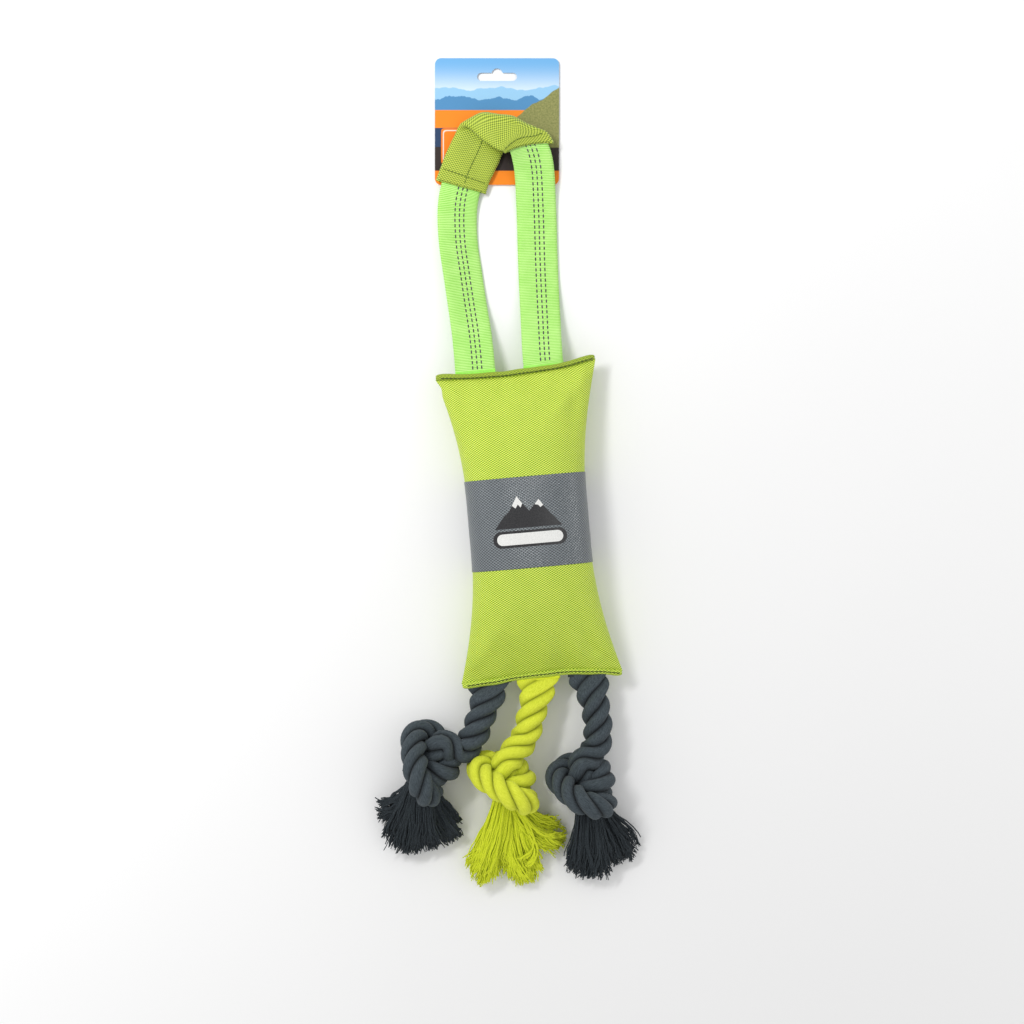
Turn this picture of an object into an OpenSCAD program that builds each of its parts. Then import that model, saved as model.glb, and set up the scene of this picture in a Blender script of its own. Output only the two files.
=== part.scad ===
// Soft training bumper for dogs: a stuffed woven pouch, a webbing loop handle with a
// fabric grip, and three knotted ropes sewn into the other end. It lies on a surface.
// +Y runs from the ropes to the handle, +Z up, origin under the middle of the pouch.

/* [Pouch] */
// Length of the pouch between its two hems
pouch_l = 242; // [240:1:244]
// Width of the pouch at its hems, where it is pressed flat
pouch_end_w = 129; // [126:1:130]
// Width of the pouch at its waist, where the filling makes it round
pouch_waist_w = 95; // [90:1:100]
// Height of the stuffed pouch
pouch_h = 56; // [52:1:60]
// Thickness of the cover fabric with its coating
fabric_t = 0.9; // [0.7:0.1:1.1]

/* [Hems] */
// Height of the hems above the surface
hem_z = 20; // [19:1:21]
// How far a folded hem stands out of the pouch
hem_l = 4.5; // [4:0.5:5]

/* [Handle] */
// Width of the webbing
web_w = 32; // [30:1:32]
// Thickness of the webbing
web_t = 2; // [1.8:0.1:2.2]
// Width of the fabric grip on the webbing
grip_w = 41.6; // [40:0.2:42]
// Outside thickness of the grip
grip_t = 6; // [5.6:0.2:6]

/* [Ropes] */
// Diameter of the three strand rope
rope_d = 24; // [22:1:24]
// Width of a rope where the hem presses it flat
rope_flat_w = 33; // [30:1:33]
// Thickness of a rope where it leaves the hem
rope_flat_t = 8; // [7:0.5:8]
// Thickness of a rope's end pressed inside the seam
tail_t = 4.2; // [4:0.1:4.2]

/* [Card] */
// Width of the hang card
card_w = 100; // [98:1:100]
// Height of the hang card
card_h = 102; // [100:1:102]
// Thickness of the card board
card_t = 0.6; // [0.4:0.1:0.6]

/* [Hidden] */

gap = 0.15;            // clearance between pieces that are sewn together
end_y = pouch_l / 2;   // where the pouch ends and its hem begins
hem_y = end_y + hem_l; // outer edge of a hem
thread_d = 0.8;        // sewing thread
lime = "yellowgreen";
neon = "greenyellow";
slate = "darkslategray";

// ---------- curves and swept solids ----------

function mix(a, b, t) = a + (b - a) * t;
function smooth(t) = let (u = min(max(t, 0), 1)) u * u * (3 - 2 * u);
function unit(v) = v / norm(v);
function catmull(a, b, c, d, t) =
    0.5 * (2 * b + (c - a) * t + (2 * a - 5 * b + 4 * c - d) * t * t
           + (3 * b - a - 3 * c + d) * t * t * t);
// A smooth curve through the stations, with steps points for each stretch between two of them
function curve(st, steps) = let (n = len(st) - 1) [
    for (i = [0:n - 1], k = [0:steps - 1])
        catmull(st[max(i - 1, 0)], st[i], st[i + 1], st[min(i + 2, n)], k / steps),
    st[n]];
function heading(line, i) =
    let (a = line[max(i - 1, 0)], b = line[min(i + 1, len(line) - 1)])
    unit([b.x - a.x, b.y - a.y, b.z - a.z]);

// Closed solid through rings of points that all have the same count
module skin(rings) {
    n = len(rings);
    m = len(rings[0]);
    sides = [for (i = [0:n - 2], j = [0:m - 1]) let (k = (j + 1) % m)
        each [[i * m + j, i * m + k, (i + 1) * m + k], [i * m + j, (i + 1) * m + k, (i + 1) * m + j]]];
    ends = [[for (j = [m - 1:-1:0]) j], [for (j = [0:m - 1]) (n - 1) * m + j]];
    polyhedron([for (r = rings) each r], concat(ends, sides), convexity = 10);
}

// Closed solid between an outer and an inner set of rings, open at both ends
module pipe_skin(outer, inner) {
    n = len(outer);
    m = len(outer[0]);
    far = n * m;
    sides = [for (i = [0:n - 2], j = [0:m - 1]) let (k = (j + 1) % m,
            a = i * m + j, b = i * m + k, c = (i + 1) * m + k, d = (i + 1) * m + j)
        each [[a, b, c], [a, c, d], [far + a, far + c, far + b], [far + a, far + d, far + c]]];
    ends = [for (j = [0:m - 1]) let (k = (j + 1) % m, t = (n - 1) * m)
        each [[j, far + j, far + k], [j, far + k, k],
              [t + j, t + k, far + t + k], [t + j, far + t + k, far + t + j]]];
    polyhedron(concat([for (r = outer) each r], [for (r = inner) each r]),
               concat(sides, ends), convexity = 10);
}

// ---------- pouch ----------

pouch_sides = 32;
pouch_rings = 26;
waist_flat = 0.16; // share of the half length over which the pouch keeps its waist
// 0 at the hems and 1 in the middle of the pouch
function fullness(y) = let (u = abs(y) / end_y) 1 - pow(u, 2.6);
function half_w(y) = let (u = abs(y) / end_y)
    mix(pouch_waist_w, pouch_end_w, pow(max(0, u - waist_flat) / (1 - waist_flat), 2)) / 2;
end_half_t = [tail_t / 2 + 2 * fabric_t + gap, web_t / 2 + fabric_t + 2 * gap]; // ropes, webbing
function end_half(y) = end_half_t[y < 0 ? 0 : 1];
function top_z(y) = mix(hem_z + end_half(y), pouch_h, fullness(y));
sag = 3; // how far the round underside would reach below the surface it is pressed flat on
function low_z(y) = mix(hem_z - end_half(y), -sag, pow(fullness(y), 0.8));
// One ring of the pouch at y, shrunk by inset, with a flat underside
function pouch_ring(y, inset) = let (
        w = half_w(y) - inset,
        hi = top_z(y) - inset,
        lo = low_z(y) + inset,
        mid = mix(hem_z, 26, fullness(y)),
        squareness = mix(0.45, 0.9, fullness(y)))
    [for (j = [0:pouch_sides - 1]) let (
        a = 360 * j / pouch_sides,
        c = cos(a),
        s = sin(a),
        z = mid + (s > 0 ? hi - mid : mid - lo) * sign(s) * pow(abs(s), 0.95))
        [w * sign(c) * pow(abs(c), squareness), y, max(z, inset)]];
function pouch_rings_between(y0, y1, n, inset) =
    [for (i = [n:-1:0]) pouch_ring(mix(y0, y1, i / n), inset)];

module pouch_cover() color(lime)
    pipe_skin(pouch_rings_between(-end_y, end_y, pouch_rings, 0),
              pouch_rings_between(-end_y, end_y, pouch_rings, fabric_t));

core_end = 26; // the filling stops short of the hems, where the tails are sewn in
module foam_core() color("gainsboro")
    skin(pouch_rings_between(core_end - end_y, end_y - core_end, 18, fabric_t + 0.6));

// The tape over the seam that closes the cover, lying on its flat underside
tape_w = 14;
tape_l = 106;
module back_seam_tape() color(lime)
    translate([-tape_w / 2, -tape_l / 2, fabric_t + 0.02])
        cube([tape_w, tape_l, 0.5]);

band_y = [-35, 37];  // the band's two edges along the pouch
band_t = 0.35;
band_gap = 0.02;
module reflective_band() color("slategray")
    difference() {
        pipe_skin(pouch_rings_between(band_y[0], band_y[1], 10, -band_gap - band_t),
                  pouch_rings_between(band_y[0], band_y[1], 10, -band_gap));
        translate([-pouch_end_w, band_y[0] - 1, -2]) // the band stops at the flat underside
            cube([2 * pouch_end_w, band_y[1] - band_y[0] + 2, 2.2]);
    }

// A plain emblem of two peaks over a bar, printed on the band
peaks = [[-24, -1], [-10, 20], [-2, 9], [6, 16], [22, -1]];
bar = [[-26, -7], [24, -7]];
emblem_out = band_gap + band_t + 0.2;
emblem_t = 0.2;
// Height of the pouch's upper side at x and y, with out added to its size
function upper_z(x, y, out) = let (mid = mix(hem_z, 26, fullness(y)),
        c = pow(abs(x) / (half_w(y) + out), 1 / mix(0.45, 0.9, fullness(y))))
    mid + (top_z(y) + out - mid) * pow(1 - c * c, 0.475);
// A printed shape from the line y0 up to an outline, in narrow columns that follow the band
module print_on_band(y0, outline) {
    column = 2;
    skin([for (x = [outline[len(outline) - 1].x:-column:outline[0].x]) let (y1 = lookup(x, outline))
        [for (p = [[y0, emblem_out], [y1, emblem_out],
                   [y1, emblem_out + emblem_t], [y0, emblem_out + emblem_t]])
            [x, p[0], upper_z(x, p[0], p[1])]]]);
}
module band_emblem() color("black") union() {
    print_on_band(-2, peaks);
    print_on_band(-12, bar);
}

// ---------- hems, tails and their sewing ----------

web_x = [-32, 22.5];     // where the two ends of the webbing are sewn in
rope_x = [-41, -2, 37];  // where the ropes are sewn in
tail_l = 24;             // how far a tail reaches into the pouch
module hem_strip(half_t, xs, slot_w, slot_t)
    difference() {
        translate([0, end_y + hem_l / 2 + gap / 2, hem_z]) union() {
            cube([pouch_end_w - 2 * half_t, hem_l - gap, 2 * half_t], center = true);
            for (side = [-1, 1])
                translate([side * (pouch_end_w / 2 - half_t), 0, 0]) rotate([90, 0, 0])
                    cylinder(r = half_t, h = hem_l - gap, center = true, $fn = 32);
        }
        for (x = xs)
            translate([x, end_y + hem_l / 2, hem_z])
                cube([slot_w + 2 * gap, 2 * hem_l, slot_t + 2 * gap], center = true);
    }
module top_hem() color("olivedrab") hem_strip(end_half_t[1], web_x, web_w, web_t);
module bottom_hem() color("olivedrab")
    mirror([0, 1, 0]) hem_strip(end_half_t[0], rope_x, rope_flat_w, tail_t);

stitch_inset = 5;  // from a hem's end to its first stitch
module stitch_row(y, half_t, pitch) {
    reach = pouch_end_w / 2 - stitch_inset;
    for (face = [-1, 1], x = [-reach:pitch:reach])
        translate([x, y, hem_z + face * (half_t + 0.3)])
            cube([pitch * 0.7, thread_d, 0.5], center = true);
}
module top_hem_thread() color("darkolivegreen") stitch_row(end_y + 1.6, end_half_t[1], 3.6);
module bottom_hem_thread() color(slate) stitch_row(-end_y - 1.6, end_half_t[0], 3.6);

module webbing_tails() color(neon)
    for (x = web_x)
        translate([x - web_w / 2, hem_y - 0.3 - tail_l, hem_z - web_t / 2])
            cube([web_w, tail_l, web_t]);
module rope_tails() color(slate)
    for (x = rope_x)
        translate([x, -hem_y + 0.3, hem_z]) rotate([-90, 0, 0]) linear_extrude(tail_l) union() {
            square([rope_flat_w - tail_t, tail_t], center = true);
            for (side = [-1, 1])
                translate([side * (rope_flat_w - tail_t) / 2, 0]) circle(d = tail_t, $fn = 32);
        }

// Dense rows of stitches that hold the tails to each other and to the cover's two layers
module bartack(x, y, w, z) {
    for (face = [-1, 1])
        translate([x, y, hem_z + face * (z + 0.3)]) cube([w, 1.8, 0.5], center = true);
}
module webbing_tail_bartacks() color("olivedrab")
    for (x = web_x, y = [6, 12, 18]) bartack(x, hem_y - tail_l + y - 3, web_w - 6, web_t / 2);
module rope_tail_bartacks() color("black")
    for (x = rope_x, y = [6, 12]) bartack(x, -hem_y + tail_l - y + 2, rope_flat_w - 8, tail_t / 2);

// ---------- handle ----------

// The webbing is drawn flat and then folded over once, along a slanting line at the top
// of the loop. A point past that line goes round a small cylinder and comes back above.
fold_r = 4.5;
fold_at = [-4, 319];
fold_angle = 4;
fold_along = [cos(fold_angle), sin(fold_angle)];
fold_out = [-sin(fold_angle), cos(fold_angle)];
fold_arc = PI * fold_r;
// Where a station past the fold lies before the fold is made
function unfold(p) = let (d = [p.x, p.y] - fold_at,
        q = fold_at + (d * fold_along) * fold_along + (fold_arc - d * fold_out) * fold_out)
    [q.x, q.y, p.z - 2 * fold_r, p[3]];
// How far the folded top of the loop slumps: up on its left, down on its right
function slump(p) = smooth((p.y - 300) / 26)
    * (4.5 * exp(-pow((p.x + 8) / 14, 2)) - 8.5 * exp(-pow((p.x - 31) / 12, 2)));
// A point of the flat strip after the fold; off is its distance from the middle layer
function fold(q, z, off) = let (
        d = q - fold_at,
        c = d * fold_along,
        h = d * fold_out,
        a = min(max(h, 0), fold_arc) / fold_r * 180 / PI,
        out = h < 0 ? h : h > fold_arc ? fold_arc - h : (fold_r + off) * sin(a),
        up = fold_r - (fold_r + off) * cos(a),
        p = fold_at + c * fold_along + out * fold_out)
    [p.x, p.y + slump(p), z + up];

// Stations of the loop: x, y, height of the middle layer, roll about its own line in degrees
hinge_web = [hem_y + 1.3, hem_z];
left_leg = [
    [web_x[0], hinge_web[0], hem_z, 0], [-32, 140, 17, -4], [-32.5, 158, 11, -9],
    [-34, 180, 6.6, -14], [-35.5, 205, 5.2, -14], [-36.8, 228, 5, -14], [-36, 250, 4.8, -10],
    [-33, 267, 4.9, -5], [-26.5, 284, 5.2, 0], [-17, 301, 5.2, 0], [-10, 313, 5.2, 0]];
turn = [[-3.5, 322, 5.4, 0], [3, 330, 6, -6], [9.5, 337.5, 6.8, -14]]; // drawn flat
right_leg = [
    [19.5, 310.5, 17.5, -18], [25.5, 301, 16.5, -14], [28.3, 290, 12.5, -4],
    [29, 278, 8, 0], [28.5, 262, 3.9, 0], [27.5, 240, 1.8, 0], [26, 215, 1.6, 0], [24.8, 190, 2.2, 0],
    [23.6, 160, 8, 0], [22.8, 141, 16.5, 0], [web_x[1], hinge_web[0], hem_z, 0]];
loop_steps = 5;
loop_line = curve(concat(left_leg, turn, [for (p = right_leg) unfold(p)]), loop_steps);
loop_n = len(loop_line) - 1;
function loop_side(i) = let (a = loop_line[max(i - 1, 0)], b = loop_line[min(i + 1, loop_n)],
        t = unit([b.x - a.x, b.y - a.y])) [t.y, -t.x];
// The point of the loop at station i, across by v and off by its distance from the middle
function loop_point(i, v, off) = let (p = loop_line[i], roll = p[3])
    fold([p.x, p.y] + loop_side(i) * v * cos(roll), p.z + v * sin(roll), off);

// Rings of a flat strip with a rectangular section, columns points across
function strip_rings(i0, i1, v0, v1, off0, off1, columns) = [for (i = [i0:i1])
    concat([for (k = [0:columns]) loop_point(i, mix(v0, v1, k / columns), off0)],
           [for (k = [columns:-1:0]) loop_point(i, mix(v0, v1, k / columns), off1)])];
module handle_webbing() color(neon)
    skin(strip_rings(0, loop_n, -web_w / 2, web_w / 2, -web_t / 2, web_t / 2, 8));

// Three lines of reflective thread woven into both faces of the webbing
tracer_pitch = 3.6;
tracer_side = 1.8; // the lines are woven a little off the middle
tracer_w = 0.9;
tracer_t = 0.3;
// The lower and the upper side of a thread that lies on one face of a strip
function on_face(face, near, t) = face > 0 ? [near, near + t] : [-near - t, -near];
module tracer_threads() color("dimgray")
    for (k = [-1:1], face = [-1, 1], leg = [[2, grip_from - 1], [grip_to + 1, loop_n - 2]]) {
        v = tracer_side + k * tracer_pitch;
        off = on_face(face, web_t / 2 + 0.03, tracer_t);
        skin(strip_rings(leg[0], leg[1], v - tracer_w / 2, v + tracer_w / 2, off[0], off[1], 1));
    }

grip_from = 37;  // rings of the loop where the grip begins and ends
grip_to = 75;
grip_columns = 12;
// Rings of a flattened tube round the webbing, half_w wide and half_t thick on each side
function grip_ring(i, half_w, half_t) = [for (side = [1, -1], k = [0:grip_columns - 1])
    let (u = side * mix(1, -1, k / grip_columns))
    loop_point(i, half_w * u, side * half_t * sqrt(1 - pow(u, 6)))];
function grip_rings(half_w, half_t) = [for (i = [grip_from:grip_to]) grip_ring(i, half_w, half_t)];
module grip_sleeve() color(lime)
    difference() {
        pipe_skin(grip_rings(grip_w / 2, grip_t / 2),
                  grip_rings(grip_w / 2 - fabric_t, grip_t / 2 - fabric_t));
        translate([pin_at.x, pin_at.y, 0]) cylinder(r = pin_hole_r, h = 4.4, $fn = 24);
    }
grip_skin = grip_t / 2 + 0.05;
grip_thread_t = 0.3;
module grip_seam_thread() color("darkolivegreen")
    skin(strip_rings(grip_from + 5, grip_from + 15, -0.4, 0.4,
                     grip_skin, grip_skin + grip_thread_t, 1));
module grip_hem_threads() color("darkolivegreen")
    for (i = [grip_from + 3, grip_to - 3], face = [-1, 1]) {
        off = on_face(face, grip_skin, grip_thread_t);
        skin([for (k = [0:8]) let (v = mix(-15, 15, k / 8),
                a = loop_point(i, v, off[0]),
                b = loop_point(i, v, off[1]),
                step = unit(loop_point(i + 1, v, 0) - loop_point(i, v, 0)) * 0.7)
            [b, b + step, a + step, a]]);
    }

// ---------- ropes ----------

// Each rope leaves its hem through a flat nose, runs to its knot and ends in a tassel
nose_r = rope_flat_t / 2;
hinge_rope = [-hem_y - nose_r - 0.4, hem_z];
rope_left_route = [
    [rope_x[0], hinge_rope[0], hem_z], [-42, -135, 20], [-44, -141, 20.5], [-48, -150, 21], [-53, -160, 22],
    [-60, -170, 22.5], [-70, -180, 23], [-80, -186, 23]];
rope_middle_route = [
    [rope_x[1], hinge_rope[0], hem_z], [-3, -135, 20], [-5, -141, 20.5], [-9, -151, 21], [-13, -162, 21.5],
    [-18, -174, 22], [-23, -186, 23], [-28, -197, 23]];
rope_right_route = [
    [rope_x[2], hinge_rope[0], hem_z], [37.5, -135, 20], [38, -141, 20.5], [39.5, -152, 21], [40.5, -164, 21.5],
    [40, -177, 22], [38, -190, 23], [35, -202, 23]];
spread_l = 16; // over this length a rope goes from flat to round
rope_sides = 12;
rope_steps = 2;
// One ring of a rope across its route, w wide and t thick
function rope_ring(p, dir, w, t) = let (side = unit(cross(dir, [0, 0, 1])), up = cross(side, dir))
    [for (j = [0:rope_sides - 1]) let (a = 360 * j / rope_sides)
        p + side * (w / 2 * cos(a)) + up * (t / 2 * sin(a))];
module rope(route) {
    line = curve(route, rope_steps);
    nose = [for (a = [12, 32, 52, 72]) // the rounded end that turns in the hem
        rope_ring(route[0] + [0, nose_r * cos(a), 0], [0, -1, 0],
                  rope_flat_w - 3 * cos(a), 2 * nose_r * sin(a))];
    skin(concat(nose, [for (i = [0:len(line) - 1])
        let (share = smooth((hinge_rope[0] - line[i].y) / spread_l))
        rope_ring(line[i], i < 2 ? [0, -1, 0] : heading(line, i),
                  mix(rope_flat_w, rope_d, share), mix(rope_flat_t, rope_d, share))]));
}
module rope_left() color(slate) rope(rope_left_route);
module rope_middle() color("yellow") rope(rope_middle_route);
module rope_right() color(slate) rope(rope_right_route);

// The outer shape of a knot: two balls and what lies between them
knot_r = 23;
module knot(a, b) hull()
    for (p = [a, b]) translate([p.x, p.y, knot_r]) sphere(r = knot_r, $fn = 24);
module rope_left_knot() color(slate) knot([-103, -172], [-91, -198]);
module rope_middle_knot() color("yellow") knot([-44, -207], [-29, -208]);
module rope_right_knot() color(slate) knot([18, -211], [30, -217]);

// A tassel spreads from the knot: each station is x, y, width and height above the surface
module tassel(st) {
    line = curve(st, 3);
    skin([for (i = [0:len(line) - 1]) let (
            a = line[max(i - 1, 0)], b = line[min(i + 1, len(line) - 1)],
            dir = unit([b.x - a.x, b.y - a.y]), side = [dir.y, -dir.x], p = line[i])
        [for (j = [0:15]) let (a = 360 * j / 16)
            [p.x - side.x * p[2] / 2 * cos(a), p.y - side.y * p[2] / 2 * cos(a),
             p[3] / 2 + p[3] / 2 * sin(a)]]]);
}
module rope_left_tassel() color(slate)
    tassel([[-103, -214, 26, 34], [-107, -228, 40, 28], [-110, -242, 56, 20], [-113, -257, 62, 12]]);
module rope_middle_tassel() color("yellow")
    tassel([[-36, -224, 26, 36], [-34, -242, 40, 28], [-35, -264, 58, 20], [-36, -288, 64, 12]]);
module rope_right_tassel() color(slate)
    tassel([[28, -230, 26, 36], [33, -248, 40, 28], [34, -266, 54, 20], [34, -286, 44, 12]]);

// ---------- hang card ----------

card_at = [2.6, 324.6];
card_turn = -5;
card_z = 0.8;
pin_at = [-10, 306];
pin_hole_r = 1;
slot_up = 36;   // from the card's middle to the middle of its hanging slot
slot_r = 3.3;
module rounded(w, h, r) union() {
    square([w - 2 * r, h], center = true);
    square([w, h - 2 * r], center = true);
    for (x = [-1, 1], y = [-1, 1])
        translate([x * (w / 2 - r), y * (h / 2 - r)]) circle(r = r, $fn = 32);
}
module hang_card() color("darkorange")
    difference() {
        translate([card_at.x, card_at.y, card_z]) rotate([0, 0, card_turn])
            linear_extrude(card_t) difference() {
                rounded(card_w, card_h, 5);
                translate([0, slot_up]) union() {
                    rounded(32, 2 * slot_r, slot_r - 0.01);
                    translate([0, slot_r - 1]) circle(r = 4.5, $fn = 32);
                }
            }
        translate([pin_at.x, pin_at.y, 0]) cylinder(r = pin_hole_r, h = 4, $fn = 24);
    }
// A plastic tag pin through the card and the grip's under layer, with a flat bar at each end
module card_pin() color("whitesmoke")
    translate([pin_at.x, pin_at.y, 0]) union() {
        translate([-4.5, -0.8, 0.1]) cube([9, 1.6, 0.5]);
        cylinder(r = 0.6, h = 3.3, $fn = 24);
        translate([0, 0, 3.4]) cube([7, 1, 0.3], center = true);
    }

pouch_cover();
foam_core();
back_seam_tape();
reflective_band();
band_emblem();
top_hem();
top_hem_thread();
webbing_tails();
webbing_tail_bartacks();
bottom_hem();
bottom_hem_thread();
rope_tails();
rope_tail_bartacks();
handle_webbing();
tracer_threads();
grip_sleeve();
grip_seam_thread();
grip_hem_threads();
rope_left();
rope_left_knot();
rope_left_tassel();
rope_middle();
rope_middle_knot();
rope_middle_tassel();
rope_right();
rope_right_knot();
rope_right_tassel();
hang_card();
card_pin();
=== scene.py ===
"""Training bumper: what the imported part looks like, with its camera, lights and floor.
Lengths are in millimetres until a mesh is built; the row frame is in metres."""
import math

import bmesh
import bpy
import numpy as np
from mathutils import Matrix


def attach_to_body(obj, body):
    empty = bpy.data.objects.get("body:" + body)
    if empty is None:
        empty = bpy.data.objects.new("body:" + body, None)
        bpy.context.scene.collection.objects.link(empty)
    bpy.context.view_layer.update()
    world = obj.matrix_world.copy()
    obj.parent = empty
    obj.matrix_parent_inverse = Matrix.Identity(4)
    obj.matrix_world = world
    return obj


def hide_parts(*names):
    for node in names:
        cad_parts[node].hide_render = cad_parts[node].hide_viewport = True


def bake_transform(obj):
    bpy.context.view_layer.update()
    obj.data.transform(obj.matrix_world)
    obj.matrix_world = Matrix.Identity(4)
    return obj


MM = 0.001
UV_NAME = "cloth"
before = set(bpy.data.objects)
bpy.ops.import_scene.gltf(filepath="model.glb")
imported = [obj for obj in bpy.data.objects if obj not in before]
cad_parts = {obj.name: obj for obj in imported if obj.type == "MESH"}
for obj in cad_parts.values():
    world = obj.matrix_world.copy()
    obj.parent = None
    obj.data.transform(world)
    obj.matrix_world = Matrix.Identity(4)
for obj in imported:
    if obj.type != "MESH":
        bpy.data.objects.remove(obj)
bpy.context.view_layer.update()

# ---------- camera, which comes first with the ropes ----------

CAMERA_AT = (-12.5, 10.0, 1950.0)
CAMERA_TURN = -4.95  # degrees about its line of sight, which runs straight down
CAMERA_LENS = 85.0
CAMERA_SENSOR = 36.0


def make_camera():
    data = bpy.data.cameras.new("camera")
    data.lens = CAMERA_LENS
    data.sensor_width = CAMERA_SENSOR
    camera = bpy.data.objects.new("camera", data)
    camera.location = [c * MM for c in CAMERA_AT]
    camera.rotation_euler = (0.0, 0.0, math.radians(CAMERA_TURN))
    bpy.context.scene.collection.objects.link(camera)
    bpy.context.scene.camera = camera


make_camera()

# ---------- curves ----------

ANY_PHASE = (0.0, 6.28)  # the range that a random phase or direction is drawn from
WOBBLE_WAVES = 4
WOBBLE_TOP = 2.2  # about as high as the waves of a wobble reach together


def mix(a, b, t):
    return a + (b - a) * t


def smooth(t):
    u = np.clip(t, 0.0, 1.0)
    return u * u * (3 - 2 * u)


def unit(v):
    return v / np.maximum(np.linalg.norm(v, axis=-1, keepdims=True), 1e-12)


def catmull(stations, steps):
    """A smooth curve through the stations, with steps points for each stretch."""
    p = np.asarray(stations, float)
    q = np.vstack([p[:1], p, p[-1:]])
    t = (np.arange(steps) / steps)[:, None]
    out = []
    for i in range(len(p) - 1):
        a, b, c, d = q[i:i + 4]
        out.append(0.5 * (2 * b + (c - a) * t + (2 * a - 5 * b + 4 * c - d) * t ** 2
                          + (3 * b - a - 3 * c + d) * t ** 3))
    return np.vstack(out + [p[-1:]])


def along(line):
    """Distance from the start of a line to each of its points."""
    return np.r_[0.0, np.cumsum(np.linalg.norm(np.diff(line[:, :3], axis=0), axis=1))]


def even(line, pitch):
    """The same line with its points pitch apart."""
    s = along(line)
    n = max(2, int(round(s[-1] / pitch)) + 1)
    at = np.linspace(0, s[-1], n)
    return np.stack([np.interp(at, s, line[:, k]) for k in range(line.shape[1])], 1)


def headings(line):
    d = np.empty_like(line)
    d[1:-1] = line[2:] - line[:-2]
    d[0] = line[1] - line[0]
    d[-1] = line[-1] - line[-2]
    return unit(d)


def carried_frames(line, side):
    """Two directions across a line that turn as little as they can along it."""
    t = headings(line)
    sides = np.empty_like(line)
    side = np.asarray(side, float)
    for i in range(len(line)):
        side = side - t[i] * (side @ t[i])
        side = side / np.linalg.norm(side)
        sides[i] = side
    return sides, np.cross(sides, t)


def wobble(x, seed, scale):
    """Smooth noise from about -1 to 1 along x, with bumps about scale long."""
    rng = np.random.default_rng(seed)
    out = 0.0
    for k in range(WOBBLE_WAVES):
        angle = x / scale * (0.7 + 0.55 * k) * 2 + rng.uniform(*ANY_PHASE)
        out = out + np.sin(angle) / (1 + 0.6 * k)
    return out / WOBBLE_TOP


# ---------- meshes ----------


class Shape:
    """Collects rings of points, given in millimetres, and makes one piece of them."""

    def __init__(self):
        self.points = []
        self.faces = []
        self.uvs = []
        self.count = 0

    def rings(self, rings, uv=None, caps=True):
        """rings is (rings, points, 3), each ring closed; uv has one more point for each ring."""
        rings = np.asarray(rings, float)
        n, m = rings.shape[:2]
        i, j = np.meshgrid(np.arange(n - 1), np.arange(m), indexing="ij")
        k = (j + 1) % m
        quads = np.stack([i * m + j, i * m + k, (i + 1) * m + k, (i + 1) * m + j], -1)
        self.faces += (quads.reshape(-1, 4) + self.count).tolist()
        if uv is None:
            uv = np.zeros((n, m + 1, 2))
        corner = np.stack([uv[i, j], uv[i, j + 1], uv[i + 1, j + 1], uv[i + 1, j]], 2)
        self.uvs.append(corner.reshape(-1, 2))
        if caps:
            for first, at in ((0, 0), ((n - 1) * m, n - 1)):
                self.faces.append((np.arange(m) + first + self.count).tolist())
                self.uvs.append(uv[at, :m].reshape(-1, 2))
        self.points.append(rings.reshape(-1, 3))
        self.count += n * m

    def build(self, name, material):
        mesh = bpy.data.meshes.new(name)
        mesh.from_pydata((np.vstack(self.points) * MM).tolist(), [], self.faces)
        layer = mesh.uv_layers.new(name=UV_NAME)
        layer.data.foreach_set("uv", np.vstack(self.uvs).astype(np.float32).ravel())
        mesh.validate()
        face_out(mesh)
        mesh.polygons.foreach_set("use_smooth", [True] * len(mesh.polygons))
        return placed(name, mesh, material)


def placed(name, mesh, material):
    """A mesh as an object in the scene."""
    piece = bpy.data.objects.new(name, mesh)
    bpy.context.scene.collection.objects.link(piece)
    piece.data.materials.append(material)
    return piece


def face_out(mesh):
    """Turns every face of a mesh to the outside."""
    bm = bmesh.new()
    bm.from_mesh(mesh)
    bmesh.ops.recalc_face_normals(bm, faces=bm.faces)
    bm.to_mesh(mesh)
    bm.free()


def tube_rings(line, radius, sides, side=(0.3, 0.2, 1.0)):
    """Round rings along a line; radius is one number or one for each point."""
    a, b = carried_frames(line, side)
    angle = np.arange(sides) * 2 * np.pi / sides
    r = np.broadcast_to(np.asarray(radius, float), (len(line),))[:, None, None]
    return (line[:, None] + r * (np.cos(angle)[None, :, None] * a[:, None]
                                 + np.sin(angle)[None, :, None] * b[:, None]))


def attach(piece, body, slot, *nodes):
    """Gives a piece the body it moves with and hides the CAD nodes whose place it takes. The slot
    is not used. A piece that bends between two bodies is given no body here."""
    if body:
        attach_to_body(piece, body)
    if nodes:
        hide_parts(*nodes)


# ---------- materials ----------

# Scales of the noises, per metre
BLOTCHES = 60.0
FIBRE_ENDS = 2500.0
THREAD_GRAIN = 900.0
PLAIN_GRAIN = 1500.0
FUZZ = 1400.0

# The light colour of a weave's dots is partly painted highlight on the raised yarns.
WEAVE_DOT = (-0.6, 0.55)  # how high a dot of the weave begins to be light, and is all light
WEAVE_TONES = (0.93, 1.02)  # how much the light colour of a weave varies over the cloth
STREAK_W = 0.55  # width of a streak in twisted yarn
STREAK_L = 14  # how many times longer than wide a streak is
STREAK_DEPTH = 0.35
STRAND_R = 6.9  # a rope is three strands of this radius


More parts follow.
